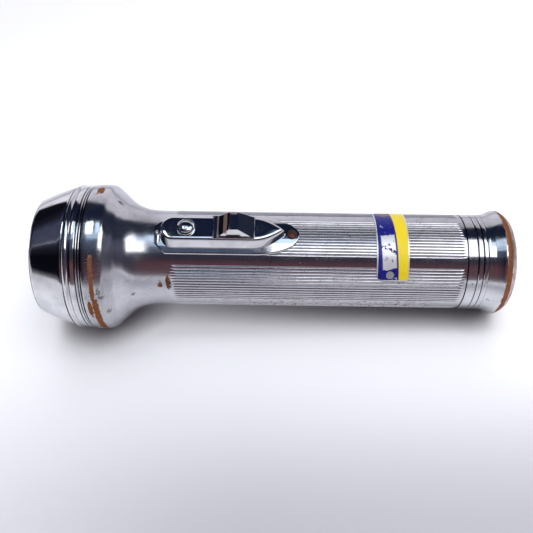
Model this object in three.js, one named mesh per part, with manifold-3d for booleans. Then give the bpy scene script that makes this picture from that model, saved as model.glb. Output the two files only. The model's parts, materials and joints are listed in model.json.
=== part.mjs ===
// A plated two-cell hand torch, lying on its side.
//
// Every station below is a distance in millimetres from the front rim, along the torch's own axis.
// The torch is first built level, axis along X and head at -X, then tipped by the small angle at
// which its wide head and its flared tail cap both touch the surface under it.
import * as THREE from 'three';
import { mergeVertices } from 'three/addons/utils/BufferGeometryUtils.js';
import Module from 'manifold-3d';

const wasm = await Module();
wasm.setup();

// ---- driving dimensions ----
const LENGTH = 179.5;
const SHELL_SIDES = 40;
const INNER_SIDES = 24;
const SMALL_SIDES = 16;
const GAP = 0.3;
const WALL = 0.8;

const HEAD_RADIUS = 28.35;
const HEAD_CONTACT = 22.4;
const RING_END = 21.0;
const SLEEVE_FRONT = 13.4;
const SLEEVE_RADIUS = 26.4;

const BARREL_RADIUS = 18.5;
const BARREL_START = 46.4;
const BARREL_END = 160.9;
const TAIL_SLEEVE_RADIUS = 17.5;
const TAIL_SLEEVE_END = 169.5;
const CELL_BORE = 16.95;

const TAIL_RADIUS = 20.4;
const TAIL_CONTACT = 175.1;
const TAIL_FLOOR = 178.5;

const FLUTE_GROUPS = 6;
const FLUTES_PER_GROUP = 13;
const FLUTE_PITCH_DEG = 3.77;
const FLUTE_RADIUS = 0.6;
const FLUTE_DEPTH = 0.34;
const FLUTE_FRONT = 49.4;
const FLUTE_BACK = 158.9;

// the switch line is tipped from straight up towards -Y
const SWITCH_LEAN_DEG = 18;
const PLATE_INNER = 18.8;
const PLATE_OUTER = 19.5;
const HOUSING_TOP = 23.5;
const HOUSING_WALL = 0.9;
const BUTTON_STATION = 56.9;
const THUMB_FRONT = 66.7;
const THUMB_BACK = 82.0;
const THUMB_TRAVEL = 5.5;
const RIVET_STATION = 95.7;
const TAB_STATION = 45.65;

const LABEL_FRONT = 127.2;
const LABEL_BACK = 139.2;
const LABEL_HALF_ARC_DEG = 53.5;

const CELL_HEIGHT = 61.5;
const FRONT_CELL_TIP = 42.3;
const REAR_CELL_TIP = 104.1;

const REFLECTOR_VERTEX = 26;
const REFLECTOR_FOCUS = 6;

const rad = THREE.MathUtils.degToRad;
const along = (station) => station - LENGTH / 2;

// ---- finishes ----
const finish = (color, roughness, metalness) => ({ color, roughness, metalness });
const CHROME = finish(0xc9ccd2, 0.12, 1.0);
const WORN_COPPER = finish(0x7a4630, 0.45, 0.9);
const BRASS = finish(0xb08d4a, 0.35, 0.9);
const ZINC = finish(0x9a9da0, 0.45, 0.8);
const STEEL = finish(0x8d9196, 0.3, 1.0);
const GLASS = finish(0xe8f2f4, 0.05, 0.0);
const MIRROR = finish(0xe6e6e2, 0.05, 1.0);
const RUBBER = finish(0x23211f, 0.8, 0.0);
const FIBRE = finish(0x6a3a24, 0.7, 0.0);
const CARD = finish(0x2d4a6b, 0.75, 0.0);
const LABEL_PAPER = finish(0x1f3fae, 0.5, 0.0);
const BLACK_MIX = finish(0x151515, 0.95, 0.0);
const CERAMIC = finish(0x1d1d22, 0.4, 0.0);

// ---- helpers ----
function piece(name, geometry, look) {
  const mesh = new THREE.Mesh(geometry, new THREE.MeshStandardMaterial(look));
  mesh.name = name;
  return mesh;
}

// a body turned about X from [station, radius] points that run round its section
function turnedGeometry(outline, sides) {
  const points = outline.map(([station, radius]) => new THREE.Vector2(radius, along(station)));
  points.push(points[0].clone());
  return new THREE.LatheGeometry(points, sides, Math.PI / sides).rotateZ(-Math.PI / 2);
}

function turned(name, outline, sides, look) {
  return piece(name, turnedGeometry(outline, sides), look);
}

// a body turned about the local Z axis from [radius, height] points
function spun(outline, sides) {
  const points = outline.map(([radius, height]) => new THREE.Vector2(radius, height));
  points.push(points[0].clone());
  return new THREE.LatheGeometry(points, sides).rotateX(Math.PI / 2);
}

function disc(radius, low, high, sides) {
  return spun([[0, low], [radius, low], [radius, high], [0, high]], sides);
}

function block(x0, x1, halfWidth, low, high) {
  const box = new THREE.BoxGeometry(x1 - x0, 2 * halfWidth, high - low);
  return box.translate((x0 + x1) / 2, 0, (low + high) / 2);
}

// a closed mesh as a solid for joining and cutting
function solid(geometry) {
  const bare = geometry.clone();
  bare.deleteAttribute('normal');
  bare.deleteAttribute('uv');
  const merged = mergeVertices(bare, 1e-4);
  const index = merged.index.array;
  const faces = [];
  for (let i = 0; i < index.length; i += 3) {
    const [a, b, c] = [index[i], index[i + 1], index[i + 2]];
    if (a !== b && b !== c && c !== a) {
      faces.push(a, b, c);
    }
  }
  const vertProperties = new Float32Array(merged.attributes.position.array);
  return new wasm.Manifold(new wasm.Mesh({ numProp: 3, vertProperties, triVerts: new Uint32Array(faces) }));
}

function toGeometry(manifold) {
  const mesh = manifold.getMesh();
  const geometry = new THREE.BufferGeometry();
  geometry.setAttribute('position', new THREE.BufferAttribute(mesh.vertProperties, 3));
  geometry.setIndex(new THREE.BufferAttribute(mesh.triVerts, 1));
  geometry.computeVertexNormals();
  return geometry;
}

const cut = (body, ...tools) => tools.reduce((left, tool) => left.subtract(solid(tool)), body);

// scale a body's section about (centreX, 0), from 1 at the upper height to flare at the lower one
function flareDown(geometry, centreX, upper, lower, flareX, flareY) {
  const position = geometry.attributes.position;
  for (let i = 0; i < position.count; i += 1) {
    const share = (upper - position.getZ(i)) / (upper - lower);
    position.setX(i, centreX + (position.getX(i) - centreX) * (1 + (flareX - 1) * share));
    position.setY(i, position.getY(i) * (1 + (flareY - 1) * share));
  }
  geometry.computeVertexNormals();
  return geometry;
}

// wrap a flat sheet that lies in XY round the X axis; its Z is then the radius
function wrapRound(geometry, radius) {
  const position = geometry.attributes.position;
  for (let i = 0; i < position.count; i += 1) {
    const angle = position.getY(i) / radius;
    const reach = position.getZ(i);
    position.setY(i, reach * Math.sin(angle));
    position.setZ(i, reach * Math.cos(angle));
  }
  geometry.computeVertexNormals();
  return geometry;
}

// ---- head: lens ring, gasket, lens, reflector ----
function lensRing() {
  const cone = [[0, 21.9], [0.3, 22.45], [0.9, 22.95], [5.0, 24.8], [9.5, 26.45], [13.2, 27.55]];
  const bead = [[13.5, 27.95], [14.4, 28.1], [15.3, 27.95], [15.6, 27.65], [15.9, 27.95], [18.0, 27.95]];
  const doubleBead = [[18.3, 27.65], [18.6, 28.0], [19.45, 28.0], [19.7, 27.7], [19.95, 28.0], [20.7, 28.0]];
  const inside = [[RING_END, 27.7], [RING_END, 27.1], [13.0, 26.8], [1.3, 22.2], [1.3, 20.7], [0, 20.7]];
  return turned('lens_ring', [...cone, ...bead, ...doubleBead, ...inside], SHELL_SIDES, CHROME);
}

function reflector() {
  const bowlRadius = (station) => Math.sqrt(4 * REFLECTOR_FOCUS * (REFLECTOR_VERTEX - station));
  const stations = [6.0, 10.0, 14.5, 18.5, 21.5, 23.5, 24.5];
  const front = stations.map((station) => [station, bowlRadius(station)]);
  const back = stations.slice(0, -1).map((station) => [station + 0.45, bowlRadius(station) + 0.55]).reverse();
  const neck = [[26.9, front.at(-1)[1]], [26.9, 6.8], [24.7, 6.8]];
  const flange = [[6.3, 22.9], [5.5, 22.9], [5.5, bowlRadius(6.0)]];
  const outline = [...front, ...neck, ...back, ...flange].reverse();
  return turned('reflector', outline, INNER_SIDES, MIRROR);
}

function opticsParts() {
  return [
    turned('lens_gasket', [[1.6, 20.9], [1.6, 22.0], [2.7, 22.0], [2.7, 20.9]], INNER_SIDES, RUBBER),
    turned('lens', [[3.0, 0], [3.0, 22.1], [3.3, 22.4], [5.2, 22.4], [5.2, 0]], INNER_SIDES, GLASS),
    reflector(),
  ];
}

// ---- bulb and the nut that clamps its flange to the reflector's neck ----
function bulbParts() {
  const outer = [[13.0, 0], [13.4, 2.2], [14.6, 4.3], [17.0, 5.4], [19.5, 5.4], [22.5, 4.6], [24.5, 4.1], [26.8, 4.1]];
  const inner = [[26.8, 3.6], [24.3, 3.6], [22.2, 4.0], [19.3, 4.8], [17.2, 4.8], [15.1, 3.8], [14.0, 1.9], [13.7, 0]];
  const base = [[27.2, 4.2], [27.2, 6.4], [28.0, 6.4], [28.0, 4.75], [39.4, 4.75], [39.4, 4.2]];
  const retainer = [[25.2, 7.1], [25.2, 8.0], [29.0, 8.0], [29.0, 5.1], [28.3, 5.1], [28.3, 7.1]];
  const insulator = [[39.7, 1.7], [39.7, 4.7], [40.4, 4.5], [41.0, 3.2], [41.0, 1.7]];
  const tip = [[39.7, 0], [39.7, 1.3], [41.4, 1.3], [41.9, 0.8], [42.0, 0]];
  return [
    turned('bulb_glass', [...outer, ...inner], SMALL_SIDES, GLASS),
    turned('bulb_base', base, SMALL_SIDES, BRASS),
    turned('bulb_insulator', insulator, SMALL_SIDES, CERAMIC),
    turned('bulb_contact', tip, SMALL_SIDES, ZINC),
    turned('bulb_retainer', retainer, INNER_SIDES, CHROME),
    filament(),
  ];
}

function wire(name, path, radius, steps, look) {
  const section = new THREE.Shape().absarc(0, 0, radius, 0, 2 * Math.PI);
  const geometry = new THREE.ExtrudeGeometry(section, { steps, extrudePath: path, curveSegments: 3 });
  return piece(name, geometry, look);
}

function filament() {
  const [foot, bend, light] = [along(30), along(21.5), along(REFLECTOR_VERTEX - REFLECTOR_FOCUS)];
  const path = new THREE.CatmullRomCurve3([
    new THREE.Vector3(foot, -1.3, 0),
    new THREE.Vector3(bend, -1.9, 0),
    new THREE.Vector3(light, 0, 0),
    new THREE.Vector3(bend, 1.9, 0),
    new THREE.Vector3(foot, 1.3, 0),
  ]);
  return wire('bulb_filament', path, 0.2, 20, STEEL);
}

// ---- barrel, drawn in one with the head shell ----
function barrel() {
  const thread = [[SLEEVE_FRONT, SLEEVE_RADIUS - 0.7], [SLEEVE_FRONT, SLEEVE_RADIUS], [RING_END + GAP, SLEEVE_RADIUS]];
  const band = [[RING_END + GAP, 27.95], [21.7, 28.2], [HEAD_CONTACT, HEAD_RADIUS], [26.9, 28.05]];
  const shoulder = [[28.7, 27.5], [30.5, 26.1], [33.1, 23.2], [34.9, 21.4], [37.0, 20.15], [39.7, 19.3], [42.8, 18.76]];
  const tube = [[BARREL_START, BARREL_RADIUS], [BARREL_END, BARREL_RADIUS], [BARREL_END, TAIL_SLEEVE_RADIUS]];
  const tail = [[TAIL_SLEEVE_END, TAIL_SLEEVE_RADIUS], [TAIL_SLEEVE_END, CELL_BORE], [159.2, CELL_BORE]];
  const bore = [[158.2, BARREL_RADIUS - WALL], [BARREL_START, BARREL_RADIUS - WALL]];
  const inside = [[39.5, 18.45], [36.4, 19.55], [34.2, 21.0], [32.5, 22.75], [29.9, 25.6], [28.1, 26.9], [26.6, 27.25]];
  const seat = [[22.1, 27.3], [22.1, SLEEVE_RADIUS - 0.7]];
  const outline = [...thread, ...band, ...shoulder, ...tube, ...tail, ...bore, ...inside, ...seat];
  const shell = solid(turnedGeometry(outline, SHELL_SIDES));
  const holes = new THREE.Group();
  holes.rotation.x = rad(SWITCH_LEAN_DEG);
  holes.updateMatrix();
  const rivetHole = disc(1.15, 15, 21, 12).translate(along(RIVET_STATION), 0, 0).applyMatrix4(holes.matrix);
  const tabHole = disc(0.75, 15, 21, 12).translate(along(TAB_STATION), 0, 0).applyMatrix4(holes.matrix);
  return piece('barrel', toGeometry(cut(shell, ...flutes(), rivetHole, tabHole)), CHROME);
}

// shallow grooves along the grip, in groups with a plain band between each two
function flutes() {
  const length = FLUTE_BACK - FLUTE_FRONT;
  const reach = BARREL_RADIUS - FLUTE_DEPTH + FLUTE_RADIUS;
  const tools = [];
  for (let group = 0; group < FLUTE_GROUPS; group += 1) {
    const centre = SWITCH_LEAN_DEG + (360 / FLUTE_GROUPS) * group;
    for (let i = 0; i < FLUTES_PER_GROUP; i += 1) {
      const angle = rad(centre + (i - (FLUTES_PER_GROUP - 1) / 2) * FLUTE_PITCH_DEG);
      const groove = new THREE.CylinderGeometry(FLUTE_RADIUS, FLUTE_RADIUS, length, 4).rotateZ(Math.PI / 2);
      groove.translate(along((FLUTE_FRONT + FLUTE_BACK) / 2), 0, reach).rotateX(angle);
      tools.push(groove);
    }
  }
  return tools;
}

// ---- switch, built with Z pointing straight out of the barrel ----
function plateOutline() {
  const [front, nose, half] = [along(44.6), along(98.5), 8.2];
  const shape = new THREE.Shape();
  shape.moveTo(front, -3.8);
  shape.lineTo(front + 4.2, -half);
  shape.lineTo(nose - 16.5, -half);
  shape.bezierCurveTo(nose - 8.5, -half, nose - 0.2, -5.6, nose, 0);
  shape.bezierCurveTo(nose - 0.2, 5.6, nose - 8.5, half, nose - 16.5, half);
  shape.lineTo(front + 4.2, half);
  shape.lineTo(front, 3.8);
  shape.closePath();
  return shape;
}

function housingOutline(inset) {
  const half = 4.8 - inset;
  const [front, tip] = [along(47.4) + inset, along(92.6) - 2.2 * inset];
  const shape = new THREE.Shape();
  shape.moveTo(front + half, -half);
  shape.lineTo(tip - 11.5, -half);
  shape.bezierCurveTo(tip - 7.0, -half, tip - 3.0, -2.4, tip, 0);
  shape.bezierCurveTo(tip - 3.0, 2.4, tip - 7.0, half, tip - 11.5, half);
  shape.lineTo(front + half, half);
  shape.absarc(front + half, 0, half, Math.PI / 2, 1.5 * Math.PI, false);
  return shape;
}

function prism(shape, low, high, curveSegments) {
  return new THREE.ExtrudeGeometry(shape, { depth: high - low, bevelEnabled: false, curveSegments }).translate(0, 0, low);
}

function ringAboutX(innerRadius, outerRadius, front, back) {
  const outline = [[front, innerRadius], [front, outerRadius], [back, outerRadius], [back, innerRadius]];
  return turnedGeometry(outline, 72);
}

function switchPlate() {
  const sheet = solid(ringAboutX(PLATE_INNER, PLATE_OUTER, 40, 102)).intersect(solid(prism(plateOutline(), 5, 25, 8)));
  const rivetHole = disc(1.15, 15, 25, 12).translate(along(RIVET_STATION), 0, 0);
  const tabHole = disc(0.75, 15, 25, 12).translate(along(TAB_STATION), 0, 0);
  return piece('switch_plate', toGeometry(cut(sheet, rivetHole, tabHole)), CHROME);
}

function switchHousing() {
  const flare = (geometry) => flareDown(geometry, along(70), HOUSING_TOP, 18.5, 1.03, 1.23);
  const shape = housingOutline(0.35);
  const round = { bevelThickness: 0.35, bevelSize: 0.35, bevelSegments: 2, curveSegments: 6 };
  const outer = new THREE.ExtrudeGeometry(shape, { depth: 6, ...round }).translate(0, 0, HOUSING_TOP - 6.35);
  const hollow = prism(housingOutline(HOUSING_WALL), 15, HOUSING_TOP - HOUSING_WALL, 6);
  const core = turnedGeometry([[40, 0], [40, PLATE_OUTER + GAP], [102, PLATE_OUTER + GAP], [102, 0]], 72);
  const slotFront = along(THUMB_FRONT + 5.9) - THUMB_TRAVEL;
  const slot = block(slotFront, along(THUMB_BACK - 4.6), 1.3, 20, 26);
  const buttonHole = disc(2.95, 20, 26, 20).translate(along(BUTTON_STATION), 0, 0);
  const body = cut(solid(flare(outer)), flare(hollow), core, slot, buttonHole);
  return piece('switch_housing', toGeometry(body), CHROME);
}

function thumbPiece() {
  const low = HOUSING_TOP + GAP;
  const foot = block(along(THUMB_FRONT), along(THUMB_BACK), 4.7, low, low + 0.5);
  const ridge = new THREE.BoxGeometry(1, 1, 1);
  const position = ridge.attributes.position;
  const [peak, base] = [28.7, low + 0.4];
  for (let i = 0; i < position.count; i += 1) {
    const top = position.getZ(i) > 0;
    const [front, back] = top ? [along(72.8), along(76.1)] : [along(68.1), along(81.7)];
    position.setXYZ(
      i,
      position.getX(i) > 0 ? back : front,
      Math.sign(position.getY(i)) * (top ? 3.75 : 4.6),
      top ? peak : base,
    );
  }
  const tongue = block(along(THUMB_FRONT + 6.3), along(THUMB_BACK - 5.0), 0.9, HOUSING_TOP - 1.3, low + 0.1);
  const body = solid(foot).add(solid(ridge)).add(solid(tongue));
  const slits = [-1, 1].map((side) => block(along(71.4), along(77.6), 1.0, low + 0.75, low + 1.25).translate(0, side * 4.6, 0));
  return piece('switch_thumb', toGeometry(cut(body, ...slits)), CHROME);
}

function slideContact() {
  const sheet = block(along(68.6), along(80.0), 3.0, 21.5, 21.9);
  const dimple = disc(1.2, 21.0, 21.7, 12).translate(along(74.3), 0, 0);
  return piece('slide_contact', toGeometry(solid(sheet).add(solid(dimple))), BRASS);
}

function flashButton() {
  const outline = [[0, 21.95], [3.3, 21.95], [3.3, 22.3], [2.6, 22.3], [2.6, 24.2], [2.3, 24.75], [1.3, 25.1], [0, 25.2]];
  const button = piece('flash_button', spun(outline, 20), CHROME);
  button.position.x = along(BUTTON_STATION);
  return button;
}

function buttonCollar() {
  const low = HOUSING_TOP + GAP;
  const outline = [[2.95, low], [3.5, low], [3.5, low + 0.35], [3.25, low + 0.65], [2.95, low + 0.5]];
  const collar = piece('button_collar', spun(outline, 20), CHROME);
  collar.position.x = along(BUTTON_STATION);
  return collar;
}

function rivet(name, station, headRadius, shankRadius, low, look) {
  const seat = PLATE_OUTER + GAP;
  const outline = [
    [0, low],
    [shankRadius, low],
    [shankRadius, seat],
    [headRadius, seat],
    [headRadius * 0.9, seat + 0.35],
    [headRadius * 0.5, seat + 0.6],
    [0, seat + 0.68],
  ];
  const body = piece(name, spun(outline, SMALL_SIDES), look);
  body.position.x = along(station);
  return body;
}

function fixedSwitchParts() {
  return [
    switchPlate(),
    switchHousing(),
    buttonCollar(),
    rivet('rear_rivet', RIVET_STATION, 1.95, 0.8, 17.1, WORN_COPPER),
    rivet('front_tab', TAB_STATION, 0.8, 0.42, 18.0, CHROME),
    piece('contact_strip', block(along(50.4), along(86.4), 2.0, 20.4, 20.7), BRASS),
    piece('strip_insulator', block(along(49.4), along(87.4), 2.6, 19.85, 20.1), FIBRE),
  ];
}

function label() {
  const arc = 2 * rad(LABEL_HALF_ARC_DEG) * BARREL_RADIUS;
  const sheet = new THREE.BoxGeometry(LABEL_BACK - LABEL_FRONT, arc, 0.25, 1, 18, 1);
  sheet.translate(along((LABEL_FRONT + LABEL_BACK) / 2), 0, BARREL_RADIUS + GAP + 0.125);
  return piece('label', wrapRound(sheet, BARREL_RADIUS), LABEL_PAPER);
}

// ---- dry cells ----
function dryCell(side, tip) {
  const height = (level) => tip + CELL_HEIGHT - level;
  const cellPiece = (what, outline, look, sides = INNER_SIDES) =>
    turned(`${side}_cell_${what}`, outline.map(([level, radius]) => [height(level), radius]).reverse(), sides, look);
  return [
    cellPiece('can', [[0, 0], [0, 15.5], [0.4, 15.9], [58.6, 15.9], [58.6, 15.5], [0.5, 15.5], [0.5, 0]], ZINC),
    cellPiece('core', [[0.8, 0], [0.8, 15.1], [55, 15.1], [55, 0]], BLACK_MIX),
    cellPiece('seal', [[55.3, 3.2], [55.3, 15.1], [58.3, 15.1], [58.3, 3.2]], CERAMIC),
    cellPiece('jacket', [[0.6, 16.2], [0.6, 16.6], [59.9, 16.6], [59.9, 14.8], [59.5, 14.8], [59.5, 16.2]], CARD),
    cellPiece('cap', [[58.6, 0], [58.6, 7.5], [59.1, 7.5], [59.1, 4.75], [61.2, 4.75], [61.5, 4.3], [61.5, 0]], BRASS, SMALL_SIDES),
  ];
}

// ---- tail cap, spring and the disc behind the spring ----
function tailCap() {
  const groove = (station) => [[station - 0.4, 18.55], [station - 0.3, 18.2], [station + 0.3, 18.2], [station + 0.4, 18.55]];
  const flare = [[169.4, 18.65], [171.4, 19.05], [173.4, 19.85], [TAIL_CONTACT, TAIL_RADIUS], [176.4, 20.2], [177.8, 19.3]];
  const end = [[178.8, 18.1], [LENGTH, 16.6], [LENGTH, 0]];
  const inside = [[TAIL_FLOOR, 0], [TAIL_FLOOR, 15.8], [176.6, 18.1], [175.0, 18.5], [172.2, 17.85], [BARREL_END + GAP, 17.85]];
  const rim = [[BARREL_END + GAP, 18.3], [161.5, 18.55]];
  const outline = [...rim, ...groove(164.8), ...groove(166.9), ...flare, ...end, ...inside];
  return turned('tail_cap', outline, SHELL_SIDES, CHROME);
}

class ConicalHelix extends THREE.Curve {
  constructor(front, back, frontRadius, backRadius, turns) {
    super();
    Object.assign(this, { front, back, frontRadius, backRadius, turns });
  }

  getPoint(t, target = new THREE.Vector3()) {
    const radius = THREE.MathUtils.lerp(this.frontRadius, this.backRadius, t);
    const angle = 2 * Math.PI * this.turns * t;
    const station = THREE.MathUtils.lerp(this.front, this.back, t);
    return target.set(station, radius * Math.cos(angle), radius * Math.sin(angle));
  }
}

function tailSpring() {
  const path = new ConicalHelix(along(REAR_CELL_TIP + CELL_HEIGHT + 0.9), along(TAIL_FLOOR - 1.8), 5.5, 12.0, 4.25);
  return wire('tail_spring', path, 0.5, 64, STEEL);
}

function springDisc() {
  const [front, back] = [TAIL_FLOOR - 0.9, TAIL_FLOOR - GAP];
  return turned('spring_disc', [[front, 0], [front, 14.0], [back, 14.0], [back, 0]], INNER_SIDES, BRASS);
}

// ---- assembly ----
const torch = new THREE.Group();
torch.add(lensRing(), ...opticsParts(), ...bulbParts(), barrel());
torch.add(...dryCell('front', FRONT_CELL_TIP), ...dryCell('rear', REAR_CELL_TIP));
torch.add(tailCap(), tailSpring());
torch.add(springDisc());

const switchGroup = new THREE.Group();
switchGroup.rotation.x = rad(SWITCH_LEAN_DEG);
switchGroup.add(...fixedSwitchParts(), thumbPiece(), slideContact(), flashButton(), label());
torch.add(switchGroup);

// tip the torch so that head and tail both touch the surface, then stand it on z = 0, centred
const flat = Math.cos(Math.PI / SHELL_SIDES);
torch.rotation.y = Math.asin(((HEAD_RADIUS - TAIL_RADIUS) * flat) / (TAIL_CONTACT - HEAD_CONTACT));
const group = new THREE.Group();
group.add(torch);
const extent = new THREE.Box3().setFromObject(group, true);
const middle = extent.getCenter(new THREE.Vector3());
torch.position.set(-middle.x, -middle.y, -extent.min.z);

export default group;
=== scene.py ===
import json
import math

import bmesh
import bpy
from mathutils import Matrix, Vector


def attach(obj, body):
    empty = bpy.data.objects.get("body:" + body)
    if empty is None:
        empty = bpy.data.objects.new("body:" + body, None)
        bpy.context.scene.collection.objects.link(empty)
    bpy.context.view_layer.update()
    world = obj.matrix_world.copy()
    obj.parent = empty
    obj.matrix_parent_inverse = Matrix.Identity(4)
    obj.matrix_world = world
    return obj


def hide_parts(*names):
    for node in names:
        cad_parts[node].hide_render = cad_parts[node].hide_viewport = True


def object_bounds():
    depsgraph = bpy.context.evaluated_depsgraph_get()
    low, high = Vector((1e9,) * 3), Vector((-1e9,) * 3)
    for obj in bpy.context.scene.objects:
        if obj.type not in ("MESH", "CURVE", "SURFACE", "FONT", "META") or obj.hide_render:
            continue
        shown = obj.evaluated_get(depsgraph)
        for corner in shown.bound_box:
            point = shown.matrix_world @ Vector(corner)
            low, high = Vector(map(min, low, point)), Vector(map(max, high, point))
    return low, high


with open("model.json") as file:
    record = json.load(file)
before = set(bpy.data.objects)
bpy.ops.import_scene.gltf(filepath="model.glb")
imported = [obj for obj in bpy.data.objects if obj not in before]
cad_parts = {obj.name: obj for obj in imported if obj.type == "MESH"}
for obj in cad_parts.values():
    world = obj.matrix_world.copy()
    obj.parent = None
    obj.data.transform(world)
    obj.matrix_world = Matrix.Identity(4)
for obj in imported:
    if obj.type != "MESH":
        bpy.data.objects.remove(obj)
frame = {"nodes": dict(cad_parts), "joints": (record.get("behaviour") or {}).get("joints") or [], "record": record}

cad_low, cad_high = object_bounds()

# ---------------------------------------- the torch's own frame
# Lengths are millimetres along and around the torch: x is the station from the front rim, z points
# straight out of the barrel at the switch, and y completes the right-handed set.
MM = 0.001
joints = {j["name"]: j for j in frame["joints"]}
mounts = {m["name"]: m for m in frame["record"]["mounts"]}
AXIS = Vector(joints["tail_cap_turn"]["axis"]).normalized()
OUT = -Vector(joints["button_press"]["axis"]).normalized()
SIDE = OUT.cross(AXIS).normalized()
ON_AXIS = Vector(joints["tail_cap_turn"]["pos_m"])
RIM = ON_AXIS + AXIS * (Vector(mounts["front_rim"]["pos_m"]) - ON_AXIS).dot(AXIS)
LENGTH = (Vector(mounts["tail_end"]["pos_m"]) - RIM).dot(AXIS) / MM
TORCH = Matrix((AXIS, SIDE, OUT)).transposed().to_4x4()
TORCH.translation = RIM

HEAD_RADIUS = 28.35
RING_END = 20.1
BARREL_RADIUS = 18.5
BARREL_START = 46.4
BARREL_END = 160.9
FLUTE_GROUPS = 6
FLUTES_PER_GROUP = 13
FLUTE_PITCH_DEG = 3.77
FLUTE_DEPTH = 0.24
PLATE_RADIUS = 19.5
COVER_TOP = 23.5
BUTTON_STATION = 56.9
THUMB_FRONT = 66.7
THUMB_BACK = 82.0
RIVET_STATION = 95.7
BEAD_STATION = 45.65
LABEL_FRONT = 127.2
LABEL_BACK = 139.2
LABEL_HALF_ARC_DEG = 52.0


# ---------------------------------------- mesh helpers
def to_mesh(name, bm):
    mesh = bpy.data.meshes.new(name)
    bm.to_mesh(mesh)
    bm.free()
    return mesh


def add_object(name, data):
    thing = bpy.data.objects.new(name, data)
    bpy.context.scene.collection.objects.link(thing)
    return thing


def finish_mesh(name, bm, material, body, stands_for, sharp_deg=32):
    bmesh.ops.remove_doubles(bm, verts=bm.verts, dist=1e-7)
    bmesh.ops.recalc_face_normals(bm, faces=bm.faces)
    mesh = to_mesh(name, bm)
    mesh.shade_smooth()
    mesh.set_sharp_from_angle(angle=math.radians(sharp_deg))
    mesh.materials.append(material)
    piece = add_object(name, mesh)
    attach(piece, body)
    if stands_for:
        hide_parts(*stands_for)
    return piece


def from_faces(vertices, faces):
    bm = bmesh.new()
    placed = [bm.verts.new(TORCH @ (Vector(v) * MM)) for v in vertices]
    for face in faces:
        corners = list(dict.fromkeys(face))
        if len(corners) > 2:
            bm.faces.new([placed[i] for i in corners])
    return bm


def rows_to_faces(rows, columns, closed_rows=True, closed_columns=True):
    """Quads between neighbouring rows of a grid that is stored row by row."""
    faces = []
    for r in range(rows if closed_rows else rows - 1):
        for c in range(columns if closed_columns else columns - 1):
            here, below = r * columns, (r + 1) % rows * columns
            right = (c + 1) % columns
            faces.append((here + c, here + right, below + right, below + c))
    return faces


def soften(points, steps=5):
    """A closed outline of (x, y, cut), each corner rounded from cut away on both sides of it."""
    out = []
    for i, (x, y, cut) in enumerate(points):
        here = Vector((x, y))
        if cut == 0:
            out.append(here)
            continue
        before = Vector(points[i - 1][:2])
        after = Vector(points[(i + 1) % len(points)][:2])
        start = here + (before - here).normalized() * cut
        end = here + (after - here).normalized() * cut
        for k in range(steps + 1):
            t = k / steps
            out.append(start * (1 - t) ** 2 + here * 2 * t * (1 - t) + end * t * t)
    return [tuple(p) for p in out]


def spline(points, steps):
    """A smooth curve through (x, y) points, with its end points kept."""
    guides = [points[0], *points, points[-1]]
    out = []
    for i in range(1, len(guides) - 2):
        p0, p1, p2, p3 = (Vector(p) for p in guides[i - 1 : i + 3])
        for k in range(steps):
            t = k / steps
            curve = 2 * p1 + (p2 - p0) * t + (2 * p0 - 5 * p1 + 4 * p2 - p3) * t * t
            out.append((curve + (3 * p1 - p0 - 3 * p2 + p3) * t ** 3) / 2)
    return [tuple(p) for p in out] + [tuple(points[-1])]


def bead(front, back, foot, crown, steps=8):
    """A rounded raised line of a profile, from its front foot to its back foot."""
    stations = [front + (back - front) * k / steps for k in range(steps + 1)]
    return [(s, foot + (crown - foot) * math.sin(math.pi * k / steps)) for k, s in enumerate(stations)]


def sheet(vertices, rows, columns):
    """A closed thin shell from two grids of points, the outer one first."""
    grid, last = rows * columns, columns - 1
    top = rows_to_faces(rows, columns, False, False)
    under = [tuple(i + grid for i in reversed(face)) for face in top]
    rim = [r * columns for r in range(rows)]
    rim += [grid - columns + c for c in range(1, columns)]
    rim += [r * columns + last for r in range(rows - 2, -1, -1)]
    rim += list(range(last - 1, 0, -1))
    wall = [(a, b, b + grid, a + grid) for a, b in zip(rim, rim[1:] + rim[:1])]
    return from_faces(vertices, top + under + wall)


def turned(name, outline, sides, material, body, stands_for, sharp_deg=32):
    """A body turned about the torch's axis from a closed outline of (station, radius)."""
    vertices = []
    for station, radius in outline:
        for k in range(sides):
            angle = 2 * math.pi * k / sides
            vertices.append((station, radius * math.sin(angle), radius * math.cos(angle)))
    bm = from_faces(vertices, rows_to_faces(len(outline), sides))
    return finish_mesh(name, bm, material, body, stands_for, sharp_deg)


def spun(name, station, outline, sides, material, body, stands_for, sharp_deg=32):
    """A body turned about the line straight out of the barrel at a station, from (radius, height)."""
    vertices = []
    for radius, height in outline:
        for k in range(sides):
            angle = 2 * math.pi * k / sides
            vertices.append((station + radius * math.cos(angle), radius * math.sin(angle), height))
    bm = from_faces(vertices, rows_to_faces(len(outline), sides))
    return finish_mesh(name, bm, material, body, stands_for, sharp_deg)


def round_edges(piece, width):
    bevel = piece.modifiers.new("round_edges", "BEVEL")
    bevel.width = width * MM
    bevel.segments = 3
    bevel.limit_method = "ANGLE"
    bevel.angle_limit = math.radians(20)
    bevel.harden_normals = False


def carve(piece, *tools):
    """Cut tool meshes out of a piece for good."""
    for tool in tools:
        cutter = add_object("cutter", tool)
        boolean = piece.modifiers.new("carve", "BOOLEAN")
        boolean.operation = "DIFFERENCE"
        boolean.solver = "EXACT"
        boolean.object = cutter
        bpy.context.view_layer.update()
        evaluated = piece.evaluated_get(bpy.context.evaluated_depsgraph_get())
        carved = bpy.data.meshes.new_from_object(evaluated)
        piece.modifiers.clear()
        piece.data = carved
        bpy.data.objects.remove(cutter)
    piece.data.set_sharp_from_angle(angle=math.radians(32))


def tool_mesh(vertices, faces):
    bm = from_faces(vertices, faces)
    bmesh.ops.recalc_face_normals(bm, faces=bm.faces)
    return to_mesh("tool", bm)


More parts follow.
